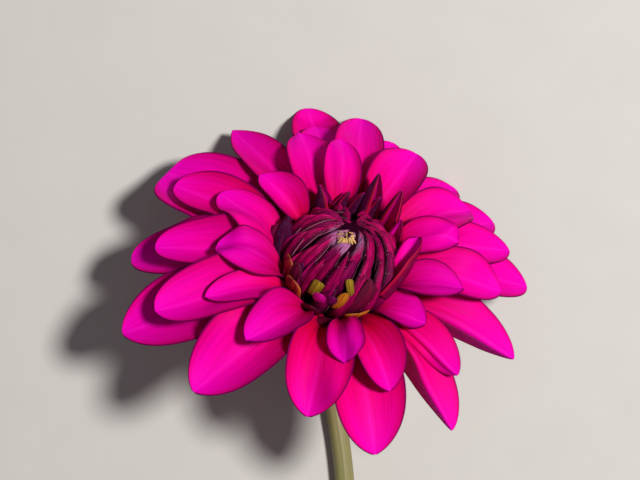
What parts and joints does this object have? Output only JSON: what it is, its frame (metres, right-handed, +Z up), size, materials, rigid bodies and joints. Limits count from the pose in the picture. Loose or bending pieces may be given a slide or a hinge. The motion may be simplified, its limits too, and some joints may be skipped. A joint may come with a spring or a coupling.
{
  "type": "cut decorative dahlia flower with a closed middle",
  "caption": "Magenta dahlia flower with broad cupped petals in rings round a closed dark middle, cut with its stem and lying on a surface.",
  "frame": {"origin": "centre of the box round the lying flower, on the surface it lies on", "axes": "+Z up from the surface; the stem lies along -Y with its cut end there, and the flower leans up and towards +Y"},
  "size_m": [0.1004, 0.1406, 0.0552],
  "materials": {
    "stem": "smooth living green stem and leafy outer bracts, flushed dark red near the head, with a pale fibrous cut",
    "inner_bract": "thin papery yellow-green bracts with fine lengthwise veins and a dry brownish edge",
    "petal": "satin vivid magenta petal, crimson towards its root and edges, with fine lengthwise veins and a thin darker rim",
    "floret": "dark maroon young florets with a greyish purple sheen, fine ribs and tiny pale hairs"
  },
  "bodies": {
    "root": {"stem_with_outer_bracts": "stem", "inner_bracts": "inner_bract", "open_petals": "petal", "closed_middle": "floret"}
  },
  "joints": []
}
